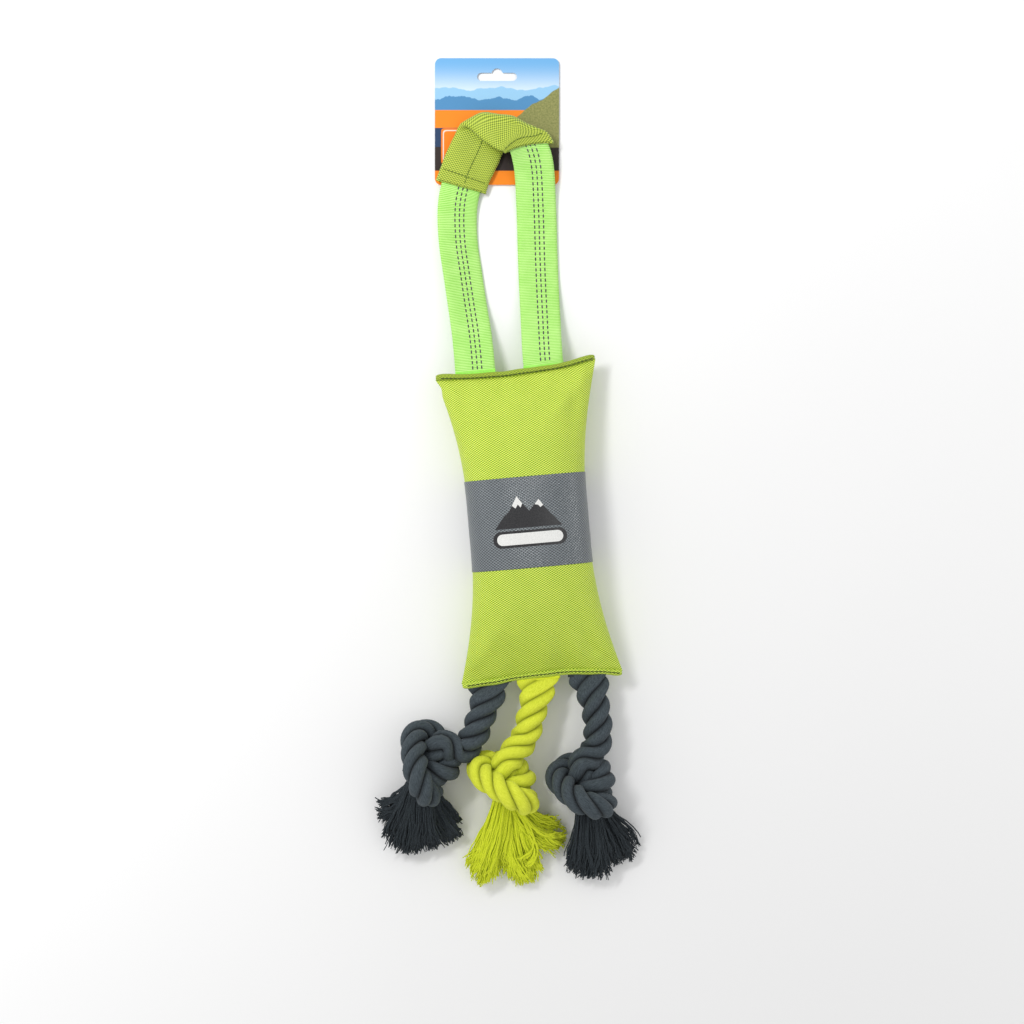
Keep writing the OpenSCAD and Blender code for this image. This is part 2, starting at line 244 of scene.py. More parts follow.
class Look:
    """A procedural material, built up from nodes."""

    def __init__(self, name, rough=0.8, sheen=0.0, specular=0.3):
        self.material = bpy.data.materials.new(name)
        self.material.use_nodes = True
        self.nodes = self.material.node_tree.nodes
        self.links = self.material.node_tree.links
        self.shader = self.nodes["Principled BSDF"]
        self.shader.inputs["Roughness"].default_value = rough
        self.shader.inputs["Sheen Weight"].default_value = sheen
        self.shader.inputs["Specular IOR Level"].default_value = specular

    def node(self, kind, values=None, **settings):
        node = self.nodes.new(kind)
        for key, value in settings.items():
            setattr(node, key, value)
        for key, value in (values or {}).items():
            if hasattr(value, "is_linked"):
                self.links.new(value, node.inputs[key])
            else:
                node.inputs[key].default_value = value
        return node

    def math(self, operation, a, b=0.0, c=0.0):
        return self.node("ShaderNodeMath", {0: a, 1: b, 2: c}, operation=operation).outputs[0]

    def cloth(self):
        """The two directions along the cloth, in millimetres."""
        uv = self.node("ShaderNodeUVMap", uv_map=UV_NAME)
        parts = self.node("ShaderNodeSeparateXYZ", {0: uv.outputs[0]})
        return parts.outputs[0], parts.outputs[1]

    def here(self):
        """The place on the object, in metres."""
        return self.node("ShaderNodeTexCoord").outputs["Object"]

    def noise(self, vector, scale, detail=2.0, rough=0.5):
        return self.node("ShaderNodeTexNoise", {"Vector": vector, "Scale": scale, "Detail": detail,
                                                "Roughness": rough}).outputs[0]

    def vector(self, x, y):
        return self.node("ShaderNodeCombineXYZ", {0: x, 1: y}).outputs[0]

    def step(self, value, low, high, to_low=0.0, to_high=1.0):
        """A smooth step as the value goes from low to high."""
        return self.node("ShaderNodeMapRange", {"Value": value, "From Min": low, "From Max": high,
                                                "To Min": to_low, "To Max": to_high},
                         interpolation_type="SMOOTHSTEP").outputs[0]

    def blend(self, share, a, b):
        """Colour a where the share is 0 and b where it is 1."""
        mixer = self.node("ShaderNodeMix", data_type="RGBA")
        for socket, value in ((mixer.inputs[0], share), (mixer.inputs[6], a), (mixer.inputs[7], b)):
            if hasattr(value, "is_linked"):
                self.links.new(value, socket)
            else:
                socket.default_value = value if isinstance(value, float) else (*value, 1.0)
        return mixer.outputs[2]

    def paint(self, colour):
        self.links.new(colour, self.shader.inputs["Base Color"])

    def bump(self, height, depth_mm):
        bump = self.node("ShaderNodeBump", {"Height": height, "Distance": depth_mm * MM,
                                            "Strength": 1.0})
        self.links.new(bump.outputs[0], self.shader.inputs["Normal"])


def woven(name, low, high, rough, cell=(1.39, 0.9), depth=0.3, sheen=0.15, gloss=0.3):
    """Coarse cloth: raised dots of the high colour in staggered rows over the low colour. The light
    dots are partly painted highlight on the raised yarns, and the low colour between them is partly
    painted shade. cell is the width and length of a dot and depth its height, in millimetres."""
    look = Look(name, rough, sheen, gloss)
    u, v = look.cloth()
    across = look.math("SINE", look.math("MULTIPLY", u, math.pi / cell[0]))
    up = look.math("SINE", look.math("MULTIPLY", v, math.pi / cell[1]))
    dots = look.math("MULTIPLY", across, up)
    share = look.step(dots, *WEAVE_DOT)
    tone = look.noise(look.here(), BLOTCHES)
    fine = look.noise(look.here(), FIBRE_ENDS)
    share = look.math("MULTIPLY", share, look.step(tone, 0.2, 0.8, *WEAVE_TONES))
    # the high colour on the dots is partly painted highlight and the low colour between them partly
    # painted shade
    look.paint(look.blend(share, low, high))
    height = look.math("ADD", look.math("MULTIPLY", dots, 0.5), look.math("MULTIPLY", fine, 0.15))
    look.bump(height, depth)
    return look.material


def thread(name, low, high):
    look = Look(name, 0.7, 0.1)
    share = look.noise(look.here(), THREAD_GRAIN)
    look.paint(look.blend(look.step(share, 0.3, 0.7), low, high))
    look.bump(share, 0.08)
    return look.material


def fibres(name, low, high, shade=None):
    """Twisted yarn: streaks that cross the strand at a slope. With shade, painted shade darkens a
    strand's colour to that share of its low colour where it lies against its neighbours."""
    look = Look(name, 0.9, 0.06, 0.15)
    u, v = look.cloth()
    across = look.math("DIVIDE", look.math("SUBTRACT", u, v), STREAK_W)
    down = look.math("DIVIDE", look.math("ADD", v, u), STREAK_W * STREAK_L)
    streaks = look.noise(look.vector(across, down), 1.0, 3.0, 0.6)
    fuzz = look.noise(look.here(), FUZZ, 3.0, 0.7)
    share = look.math("ADD", look.math("MULTIPLY", streaks, 0.7), look.math("MULTIPLY", fuzz, 0.3))
    colour = look.blend(look.step(share, 0.3, 0.7), low, high)
    # painted shade in the grooves where a strand lies against its neighbours
    if shade:
        outer = look.math("COSINE", look.math("DIVIDE", u, STRAND_R))
        dark = tuple(shade * c for c in low)
        colour = look.blend(look.step(outer, -0.45, 0.6), dark, colour)
    look.paint(colour)
    look.bump(share, STREAK_DEPTH)
    return look.material


def plain(name, colour, rough=0.5):
    """One colour with a fine grain."""
    look = Look(name, rough)
    share = look.noise(look.here(), PLAIN_GRAIN)
    light = tuple(min(1.0, c * 1.15 + 0.02) for c in colour)
    look.paint(look.blend(look.step(share, 0.3, 0.7), colour, light))
    look.bump(share, 0.05)
    return look.material


# Colours, each the low and the high one of a material. In a weave the high colour is partly painted
# highlight on its raised dots, and the low colour is partly painted shade between them.
LIME = ((0.14, 0.34, 0.001), (0.90, 1.0, 0.14))
# The top hem is the cover's own cloth drawn darker: painted shade on the rolled hem.
HEM_PAINTED_SHADE = ((0.15, 0.23, 0.006), (0.44, 0.58, 0.04))
GRIP = ((0.13, 0.21, 0.004), (0.60, 0.72, 0.08))
# The band's high colour is partly painted glint of its reflective coating, beside its real gloss.
GREY = ((0.020, 0.027, 0.032), (0.18, 0.21, 0.23))
SLATE = ((0.032, 0.042, 0.050), (0.085, 0.106, 0.120))
SLATE_YARN = ((0.008, 0.011, 0.013), (0.054, 0.068, 0.078))
ROPE_LIME = ((0.60, 0.67, 0.028), (0.84, 0.90, 0.08))
LIME_YARN = ((0.56, 0.66, 0.010), (0.86, 0.93, 0.06))

cover_look = woven("cover_weave", *LIME, depth=0.45, rough=0.45, sheen=0.0)
# a darker copy of the cover cloth for the top hem, painted shade
shaded_hem_look = woven("shaded_hem_weave", *HEM_PAINTED_SHADE, rough=0.5)
# the band's pale dots are partly painted glints on the raised yarns
band_look = woven("band_weave", *GREY, cell=(1.5, 1.1), depth=0.45, rough=0.3,
                  sheen=0.0, gloss=0.9)
grip_look = woven("grip_weave", *GRIP, rough=0.5)
slate_look = fibres("slate_strand", *SLATE, shade=0.3)
lime_look = fibres("lime_strand", *ROPE_LIME, shade=0.6)
slate_yarn_look = fibres("slate_fibre", *SLATE_YARN)
lime_yarn_look = fibres("lime_fibre", *LIME_YARN)
green_thread_look = thread("green_thread", (0.05, 0.10, 0.004), (0.14, 0.24, 0.012))
dark_thread_look = thread("dark_thread", (0.02, 0.04, 0.004), (0.06, 0.10, 0.01))
tracer_look = thread("tracer_thread", (0.035, 0.03, 0.04), (0.12, 0.11, 0.13))

# ---------- ropes ----------

ROPE_LAY = 43.0  # a strand goes once round the rope in this length
STRAND_AT = 5.1  # from the rope's middle to a strand's middle
STRAND_IN = 0.15  # how near the rope's middle a strand's skin comes
STRAND_GAP = 0.08  # between two strands
STRAND_SIDES = 26
ROPE_PITCH = 1.6  # from ring to ring
PRESSED = (2, 26)  # where the rope begins to come out of its flat shape, and over what length
PRESSED_WIDER, PRESSED_THINNER = 0.42, 0.76  # shares of its width and height at the hem

KNOT_SIZE = 10.0
KNOT_PITCH = 3.6  # from point to point while a knot is tightened
KNOT_STEPS = 1500
KNOT_PULL = 0.5  # how far each step pulls both ends
KNOT_STRAIGHTEN = 0.12
KNOT_CONTACT = 17.5  # how close two turns of the rope come in a knot
KNOT_SQUEEZE = 0.88  # how much thinner the rope is in a knot


def tight_knot():
    """The middle line of an overhand knot, pulled tight along X, from end to end."""
    t = np.linspace(-2.25, 2.25, 900)
    loose = np.stack([t ** 3 - 3 * t, t ** 4 - 4 * t ** 2, (t ** 5 - 10 * t) * 0.12], 1)
    p = even(loose * KNOT_SIZE, KNOT_PITCH)
    pitch = along(p)[1]
    # pairs of points that are far enough apart along the rope to count as two turns of it
    i, j = np.triu_indices(len(p), int(1.75 * KNOT_CONTACT / pitch) + 1)
    pull = unit(p[-1] - p[0]) * KNOT_PULL
    for _ in range(KNOT_STEPS):
        p[:2] -= pull
        p[-2:] += pull
        p[1:-1] += KNOT_STRAIGHTEN * (0.5 * (p[:-2] + p[2:]) - p[1:-1])
        for _ in range(3):  # turns push each other away, and every link keeps its length
            gap = p[i] - p[j]
            r = np.linalg.norm(gap, axis=1)
            near = r < KNOT_CONTACT
            push = gap[near] * (0.3 * (KNOT_CONTACT - r[near]) / r[near])[:, None]
            np.add.at(p, i[near], push)
            np.add.at(p, j[near], -push)
            for start in (0, 1):
                a, b = p[start:-1:2], p[start + 1::2]
                step = b - a[:len(b)]
                long = np.linalg.norm(step, axis=1, keepdims=True)
                move = 0.5 * (long - pitch) / long * step
                a[:len(b)] += move
                b -= move
    x = unit(p[-1] - p[0])
    z = unit(np.cross(x, [0.0, 0.0, 1.0]))
    middle = p[np.abs((p - p.mean(0)) @ x) < 30].mean(0)
    return (p - middle) @ np.stack([x, np.cross(z, x), z], 1)


KNOT = tight_knot()


def placed_knot(at, heading_deg, roll_deg, press, reach_in, reach_out):
    """The knot at a place, with the rope passing it in a heading and rolled about that heading.
    press says how the knot is pressed along the rope and in the two directions across it. The
    reaches say how much rope goes with it before and after its middle."""
    part = KNOT[(KNOT[:, 0] > -reach_in) & (KNOT[:, 0] < reach_out)] * press
    h, r = math.radians(heading_deg), math.radians(roll_deg)
    x = np.array([math.cos(h), math.sin(h), 0.0])
    y = np.array([-math.sin(h), math.cos(h), 0.0])
    z = np.array([0.0, 0.0, 1.0])
    y, z = y * math.cos(r) + z * math.sin(r), z * math.cos(r) - y * math.sin(r)
    return np.array(at) + part @ np.stack([x, y, z])


def rope_line(route, knot):
    """The middle line of a rope along its route and through its knot."""
    line = catmull(np.vstack([route, knot]), 8)
    line = even(line, ROPE_PITCH)
    for _ in range(6):  # takes out the kink where the route meets the knot
        line[1:-1] += 0.5 * (0.5 * (line[:-2] + line[2:]) - line[1:-1])
    return even(line, ROPE_PITCH)


def strand_rings(line, turn0, squeeze, flat):
    """Rings of one strand: round outside, wedged between the other two on the inside. At each
    ring squeeze scales the whole rope, and the two parts of flat scale its width and height."""
    a, b = carried_frames(line, (1.0, 0.0, 0.0))
    s = along(line)
    phase = turn0 - s / ROPE_LAY * 2 * np.pi
    angle = np.arange(STRAND_SIDES) * 2 * np.pi / STRAND_SIDES
    out = STRAND_AT + STRAND_R * np.cos(angle)
    off = STRAND_R * np.sin(angle)
    out = np.maximum(out, STRAND_IN)
    limit = math.tan(math.radians(60)) * out - STRAND_GAP
    off = np.clip(off, -limit, limit)
    x = out[None] * np.cos(phase)[:, None] - off[None] * np.sin(phase)[:, None]
    y = out[None] * np.sin(phase)[:, None] + off[None] * np.cos(phase)[:, None]
    x, y = x * (squeeze * flat[0])[:, None], y * (squeeze * flat[1])[:, None]
    rings = line[:, None] + x[..., None] * a[:, None] + y[..., None] * b[:, None]
    around = np.arange(STRAND_SIDES + 1) / STRAND_SIDES * 2 * np.pi * STRAND_R
    uv = np.stack(np.broadcast_arrays(around[None], (s * 1.3)[:, None]), -1)
    return rings, uv


def make_rope(name, route, knot, look, slot):
    """Three strands from the hem through the knot."""
    line = rope_line(route, knot)
    s = along(line)
    knot_from = np.argmin(np.linalg.norm(line - knot[0], axis=1))
    squeeze = mix(1.0, KNOT_SQUEEZE, smooth((s - s[knot_from] + 12) / 24))
    pressed = 1 - smooth((s - PRESSED[0]) / PRESSED[1])
    flat = (1 + PRESSED_WIDER * pressed, 1 - PRESSED_THINNER * pressed)
    shape = Shape()
    for k in range(3):
        rings, uv = strand_rings(line, k * 2 * np.pi / 3, squeeze, flat)
        shape.rings(rings, uv)
    piece = shape.build(name, look)
    attach(piece, None, slot, name.replace("_strands", ""), name.replace("_strands", "_knot"))
    x, y, z = (c * MM for c in line[0])
    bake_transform(piece)


YARNS = 9  # in each wisp of a tassel
YARN_R = (0.45, 0.68)  # the thinnest and the thickest yarn
YARN_POINTS = 18
YARN_SIDES = 5
YARN_LOWEST = 0.8  # how near the floor a yarn's middle comes
WISP_SWAY = 3.6  # how far a wisp bends to a side
WISP_FAN = (0.6, 1.6)  # how much a wisp spreads towards its end
CRIMP = 0.6  # how far a yarn waves to a side
CRIMP_UP = 0.3
FRAY_L = 0.2  # the share of its clump's length over which a yarn is frayed at its end
FRAY_SPREAD, FRAY_WAVE = 7, 4.5


def clump(shape, rng, path, ends, count):
    """Yarns that run together along a path. ends holds their spread in width and height, and
    their middle's height above the floor, at each end of the path."""
    (w0, h0, z0), (w1, h1, z1) = ends
    route = catmull([(*p, 0.0) for p in path], 8)
    at = along(route) / along(route)[-1]
    t = headings(route)
    side = np.stack([t[:, 1], -t[:, 0], 0 * at], 1)
    for _ in range(max(1, count // YARNS)):  # each wisp has its own bend and crimp
        u, h = rng.uniform(-1, 1), rng.uniform(-1, 1) * 0.9
        sway, turn = rng.normal(0, WISP_SWAY), rng.uniform(*ANY_PHASE)
        long = 1.02 - rng.beta(1.3, 3) * 0.2 - 0.2 * u * u
        fan = rng.uniform(*WISP_FAN)
        for _ in range(YARNS):
            du, dh = rng.normal(0, 0.5, 2)
            a = np.linspace(0, long - rng.uniform(0, 0.06), YARN_POINTS)
            line = np.stack([np.interp(a, at, route[:, k]) for k in range(3)], 1)
            across = np.stack([np.interp(a, at, side[:, k]) for k in range(3)], 1)
            loose = smooth((a - 0.15) / 0.85)
            reach = mix(w0, w1, a ** 1.1) / 2 * (u + du * 0.15 * mix(0.7, fan, loose))
            crimp = CRIMP * np.sin(a * 34 + turn + 2 * du) * a
            reach += sway * np.sin(a * 5.5 + turn) * loose + crimp
            frayed = np.clip(a - long + FRAY_L, 0, 1)
            reach += frayed * (FRAY_SPREAD * du + FRAY_WAVE * np.sin(a * 40 + 5 * dh))
            line += across * reach[:, None]
            lift = mix(h0, h1, a) / 2 * np.clip(h + dh * 0.3, -1, 1)
            lift += (0.8 * np.sin(a * 7 + turn * 2) + CRIMP_UP * np.cos(a * 31 + turn)) * loose
            line[:, 2] = np.maximum(mix(z0, z1, a ** 0.8) + lift, YARN_LOWEST)
            radius = rng.uniform(*YARN_R) * (1 - 0.35 * (a / long) ** 4)
            around = np.arange(YARN_SIDES + 1)[None] * 0.8 + rng.uniform(0, 50)
            uv = np.stack(np.broadcast_arrays(around, along(line)[:, None]), -1)
            shape.rings(tube_rings(line, radius, YARN_SIDES), uv)


def make_tassel(name, body, look, slot, clumps, seed):
    """Loose yarns past a knot, in a few clumps."""
    rng = np.random.default_rng(seed)
    shape = Shape()
    for path, ends, count in clumps:
        clump(shape, rng, path, ends, count)
    piece = shape.build(name, look)
    attach(piece, body, slot, name.replace("_yarns", "_tassel"))
    return piece


# A knot is given by what placed_knot takes. Each clump of a tassel is given by the x and y of its
# path, its two ends and about how many yarns it has.
ROPES = {
    "rope_left": dict(
        body="left_rope", slot=("slate_rope", "slate_yarn"), look=slate_look, yarn=slate_yarn_look,
        route=[(-43, -121.5, 20), (-44.5, -132, 20), (-47, -141, 20.5), (-51, -150, 21),
               (-55.5, -160, 22), (-61.5, -170, 22.5), (-71, -177, 23)],
        knot=((-96, -183, 28), 226, 230, (0.92, 1.16, 1.05), 24, 22), seed=3,
        clumps=[
            ([(-103, -190), (-108, -214), (-113, -238), (-115, -257)],
             ((13, 11, 25), (54, 14, 9)), 560),
            ([(-104, -191), (-116, -209), (-130, -219), (-143, -224)],
             ((10, 10, 25), (20, 10, 8)), 200),
            ([(-101, -192), (-97, -218), (-90, -238), (-84, -253)],
             ((11, 10, 21), (32, 9, 6)), 280)]),
    "rope_middle": dict(
        body="middle_rope", slot=("lime_rope", "lime_yarn"), look=lime_look, yarn=lime_yarn_look,
        route=[(-3, -121.5, 20), (-5, -132, 20), (-7, -141, 20.5), (-10.5, -151, 21),
               (-14.5, -162, 21.5), (-19, -172, 22)],
        knot=((-36, -204, 27), 262, 215, (0.68, 1.2, 1.0), 22, 22), seed=5,
        clumps=[
            ([(-37, -208), (-45, -238), (-56, -265), (-63, -287)],
             ((12, 11, 26), (30, 15, 10)), 480),
            ([(-33, -208), (-23, -233), (-8, -248), (9, -254)], ((10, 10, 24), (28, 11, 8)), 330),
            ([(-35, -208), (-34, -240), (-29, -268), (-25, -290)], ((11, 10, 19), (38, 9, 6)), 420),
            ([(-33, -222), (-21, -244), (-20, -262), (-34, -272)], ((5, 3, 21), (6, 3, 15)), 36)]),
    "rope_right": dict(
        body="right_rope", slot=("slate_rope", "slate_yarn"), look=slate_look, yarn=slate_yarn_look,
        route=[(36.5, -121.5, 20), (38, -132, 20), (39, -141, 20.5), (40.5, -152, 21),
               (41, -164, 21.5), (40, -176, 22), (36, -186, 23)],
        knot=((26, -212, 27), 268, 240, (0.76, 1.12, 1.0), 24, 22), seed=8,
        clumps=[
            ([(27, -218), (27, -246), (25, -270), (23, -289)], ((13, 11, 25), (42, 14, 9)), 480),
            ([(30, -217), (39, -243), (48, -265), (52, -281)], ((12, 11, 24), (32, 11, 8)), 400)]),
}


def make_ropes():
    for name, r in ROPES.items():
        tassel = make_tassel(f"{name}_yarns", r["body"], r["yarn"], r["slot"][1], r["clumps"],
                             r["seed"])
        make_rope(f"{name}_strands", r["route"], placed_knot(*r["knot"]), r["look"],
                  r["slot"][0])


make_ropes()

# ---------- pouch ----------

END_Y = 121.0  # where the pouch ends and its hems begin
HEM_L = 4.5  # how far a hem stands out of the pouch
HEM_Z = 20.0
END_W = 129.0
WAIST_W = 95.0
WAIST_FLAT = 0.16  # the share of the half length over which the pouch keeps its waist
POUCH_H = 56.0
FULL_POWER = 2.6  # how far towards its hems the pouch stays full
SAG = 3.0  # how far the round underside would reach below the floor that presses it flat
WAIST_Z = 26.0  # height of the waist's widest line
SQUARE_END, SQUARE_WAIST = 0.45, 0.9  # how square the outline is, from 0, a box, to 1, an oval
SIDE_ROUND = 0.95  # the same for how it rises from its widest line
HEM_DIP = 0.7  # how much the hem's seam presses the cloth in
ROPE_X = (-41.0, -2.0, 37.0)
WEB_X = (-32.0, 22.5)
ROPE_HALF, WEB_HALF = 15.0, 17.0  # half the width over which each of them lifts the cloth
PINCH_AT = (-46.0, 113.5)  # the corner by the handle that is pulled in
POUCH_AROUND = 300
POUCH_LONG = 320
RING_CROWD = 1.45  # rings follow a sine up to this angle, so they crowd together at the hems
BAND_Y = (-35.0, 37.0)
BAND_RINGS = 90
BAND_T = 0.5  # how far the band stands proud of the cover
GATHER_H, GATHER_L = 0.45, 13.0  # of the small folds at the hems

HEM_LINE = {  # how far each hem's edge lies off a straight line: x and shift
    1: catmull([(-66, -0.6), (-40, -2.2), (-15, -2.9), (8, -2.2), (38, 0.2), (52, 2.6),
                (66, 5.6)], 6),
    -1: catmull([(-66, -2.6), (-40, -0.6), (-18, 1.0), (16, 2.4), (42, 0.6), (66, -3.2)], 6)}


def hem_shift(x, y):
    """How far the cloth is pulled along the pouch near its hems."""
    up = np.interp(x, HEM_LINE[1][:, 0], HEM_LINE[1][:, 1])
    down = np.interp(x, HEM_LINE[-1][:, 0], HEM_LINE[-1][:, 1])
    return np.where(y > 0, up, down) * np.abs(y / END_Y) ** 5


def fullness(y):
    """0 at the hems and 1 in the middle of the pouch."""
    return 1 - np.abs(y / END_Y) ** FULL_POWER


def half_w(y):
    u = np.abs(y / END_Y)
    return mix(WAIST_W, END_W, (np.maximum(0, u - WAIST_FLAT) / (1 - WAIST_FLAT)) ** 2) / 2


def end_half(x, y):
    """Half the thickness of the pouch where its hem presses it, thicker over what is sewn in."""
    ropes = sum(np.exp(-((x - c) / ROPE_HALF) ** 4) for c in ROPE_X)
    webs = sum(np.exp(-((x - c) / WEB_HALF) ** 4) for c in WEB_X)
    return np.where(y < 0, 2.4 + 2.2 * np.clip(ropes, 0, 1), 1.7 + 0.7 * np.clip(webs, 0, 1))


def gathers(x, y):
    """Small folds that run into the pouch from its hems."""
    d = END_Y - np.abs(y)
    seed = np.where(y < 0, 0.0, 40.0)
    folds = (np.sin(x / 4.1 + seed) + 0.7 * np.sin(x / 2.3 + 1.3 + seed)
             + 0.8 * np.sin(x / 7.9 + seed))
    return GATHER_H * folds * np.exp(-d / GATHER_L) * smooth(d / 4.0)


CREASES = (  # where a fold begins at a corner, where it fades, how high and how wide it is
    ((62, 119), (14, 70), 2.6, 6.5), ((-62, 119), (-30, 84), 2.0, 5.0),
    ((46, 112), (38, 50), -1.7, 6.0), ((-46, 108), (-40, 66), -1.4, 5.0),
    ((60, -117), (36, -60), 2.4, 6.5), ((-60, -117), (-24, -72), 2.0, 6.0),
    ((47, -112), (28, -84), -1.8, 5.0), ((8, -119), (-2, -66), 1.3, 7.0),
    ((4, 119), (-6, 70), 1.2, 8.0))


def creases(x, y):
    """Long soft folds that run in from the corners."""
    height = 0.0
    for start, stop, high, wide in CREASES:
        a, b = np.array(start, float), np.array(stop, float)
        way = (b - a) / np.linalg.norm(b - a)
        t = ((x - a[0]) * way[0] + (y - a[1]) * way[1]) / np.linalg.norm(b - a)
        n = (x - a[0]) * way[1] - (y - a[1]) * way[0]
        ridge = high * np.exp(-(n / wide) ** 2)
        height = height + ridge * smooth(t / 0.25) * smooth((1.3 - t) / 1.1)
    return height


def pouch_point(angle, y, out=0.0):
    """A point of the pouch's skin: angle runs round it, out lifts it off the skin."""
    c, s = np.cos(angle), np.sin(angle)
    f = fullness(y)
    w = half_w(y) + out
    x = w * np.sign(c) * np.abs(c) ** mix(SQUARE_END, SQUARE_WAIST, f)
    end = end_half(x, y) - HEM_DIP * np.exp(-((END_Y - np.abs(y)) / 1.6) ** 2)
    high = mix(HEM_Z + end, POUCH_H, f) + out
    low = mix(HEM_Z - end, -SAG, np.maximum(f, 0) ** 0.8) - out
    middle = mix(HEM_Z, WAIST_Z, f)
    rise = np.sign(s) * np.abs(s) ** SIDE_ROUND
    z = middle + np.where(s > 0, high - middle, middle - low) * rise
    z = z + np.sign(s) * gathers(x, y) * np.minimum(1, np.abs(s) * 2)
    z = z + creases(x, y) * smooth(s * 2.5)
    x = x + 1.8 * np.exp(-((y - PINCH_AT[1]) / 5.0) ** 2) * smooth((PINCH_AT[0] - x) / 14)
    z = np.maximum(z, -out)
    return np.stack([x, y + hem_shift(x, y), z], -1)


def cloth_uv(points):
    """Distances along the cloth, round it and along it, for rings of points."""
    closed = np.concatenate([points, points[:, :1]], 1)
    around = np.cumsum(np.linalg.norm(np.diff(closed, axis=1), axis=-1), 1)
    around = np.concatenate([np.zeros((len(points), 1)), around], 1)
    around = around - around[:, -1:] / 4
    long = np.broadcast_to(closed[:, :, 1], around.shape)
    return np.stack([around, long], -1)


def make_pouch():
    angle = np.arange(POUCH_AROUND) * 2 * np.pi / POUCH_AROUND
    y = END_Y * np.sin(np.linspace(-1, 1, POUCH_LONG) * RING_CROWD) / math.sin(RING_CROWD)
    a, yy = np.meshgrid(angle, y)
    points = pouch_point(a, yy)
    shape = Shape()
    shape.rings(points, cloth_uv(points))
    piece = shape.build("pouch_skin", cover_look)
    attach(piece, "pouch", "cover_fabric", "pouch_cover")


def make_band():
    angle = np.arange(POUCH_AROUND) * 2 * np.pi / POUCH_AROUND
    y = np.linspace(*BAND_Y, BAND_RINGS)
    # the band's edges round off in two steps, each given by its y and how far it stands out
    rows = [(BAND_Y[0], 0.05), (BAND_Y[0] + 0.1, 0.35)] + [(v, BAND_T) for v in y[1:-1]]
    rows += [(BAND_Y[1] - 0.1, 0.35), (BAND_Y[1], 0.05)]
    points = np.array([pouch_point(angle, np.full_like(angle, v), o) for v, o in rows])
    shape = Shape()
    shape.rings(points, cloth_uv(points), caps=False)
    piece = shape.build("band_cloth", band_look)
    attach(piece, "pouch", "band_fabric", "reflective_band")


def upper_z(x, y, out):
    """Height of the pouch's upper side at x and y."""
    f = fullness(y)
    c = (np.abs(x) / (half_w(y) + out)) ** (1 / mix(SQUARE_END, SQUARE_WAIST, f))
    high = mix(HEM_Z + end_half(x, y), POUCH_H, f) + out
    middle = mix(HEM_Z, WAIST_Z, f)
    return middle + (high - middle) * (1 - np.minimum(c, 1) ** 2) ** (SIDE_ROUND / 2)


PRINT_T = 0.18
PRINT_CUT = 2.5  # a print is cut this fine to lie on the round band
PRINT_REACH = ((-34, 34), (-24, 28))  # in x and in y
DARK_OUT = 0.55  # how far the underside of each print stands off the cover
LIGHT_OUT = 0.75


def printed(name, outlines, out, material):
    """Flat outlines laid on the band as a thin print; out is how far its underside stands off
    the cover."""
    bm = bmesh.new()
    for outline in outlines:
        bm.faces.new([bm.verts.new((x, y, 0.0)) for x, y in outline])
    for axis, (low, high) in enumerate(PRINT_REACH):
        for at in np.arange(low, high, PRINT_CUT):
            point, normal = [0.0] * 3, [0.0] * 3
            point[axis], normal[axis] = float(at), 1.0
            bmesh.ops.bisect_plane(bm, geom=bm.verts[:] + bm.edges[:] + bm.faces[:],
                                   plane_co=point, plane_no=normal)
    top = bmesh.ops.extrude_face_region(bm, geom=bm.faces[:])
    lifted = {v for v in top["geom"] if isinstance(v, bmesh.types.BMVert)}
    for v in bm.verts:
        lift = out + (PRINT_T if v in lifted else 0.0)
        v.co = (v.co.x * MM, v.co.y * MM, float(upper_z(v.co.x, v.co.y, lift)) * MM)
    bmesh.ops.recalc_face_normals(bm, faces=bm.faces)
    mesh = bpy.data.meshes.new(name)
    bm.to_mesh(mesh)
    bm.free()
    return placed(name, mesh, material)


def rounded_box(x0, y0, x1, y1, r):
    corners = ((x1 - r, y1 - r, 0), (x0 + r, y1 - r, 90), (x0 + r, y0 + r, 180),
               (x1 - r, y0 + r, 270))
    turned = [(cx, cy, math.radians(a + k * 15)) for cx, cy, a in corners for k in range(7)]
    return [(cx + r * math.cos(a), cy + r * math.sin(a)) for cx, cy, a in turned]


def make_emblem():
    """Two snowy peaks over a bar."""
    black = plain("print_black", (0.012, 0.012, 0.014))
    white = plain("print_white", (0.72, 0.72, 0.70))
    peaks = [(-27, -3), (-19, 7), (-15, 10), (-8, 22), (-4, 16), (1, 10), (5, 14), (9, 18.5),
             (14, 11), (21, 3), (26, -3)]
    caps = [[(-12.2, 14.8), (-8, 22), (-4, 16), (-5.5, 13), (-7.5, 15.5), (-9.5, 12.5)],
            [(5.6, 14.6), (9, 18.5), (12.3, 13.6), (10, 12), (8.4, 14)]]
    dark = [peaks, rounded_box(-29, -18, 29, -5, 6)]
    light = caps + [rounded_box(-26, -16, 26, -7, 4.4)]
    attach(printed("emblem_dark", dark, DARK_OUT, black), "pouch", "emblem_print", "band_emblem")
    attach(printed("emblem_light", light, LIGHT_OUT, white), "pouch", "emblem_print")


make_pouch()
make_band()
make_emblem()

# ---------- hems and their stitches ----------

STITCH_W = 0.95
STITCH_L = 3.1
STITCH_PITCH = 3.4
HEM_SEED, HEM_WAVE = 11, 14.0  # of the small waves along a hem
HEM_RINGS = 240
HEM_SIDES = 16


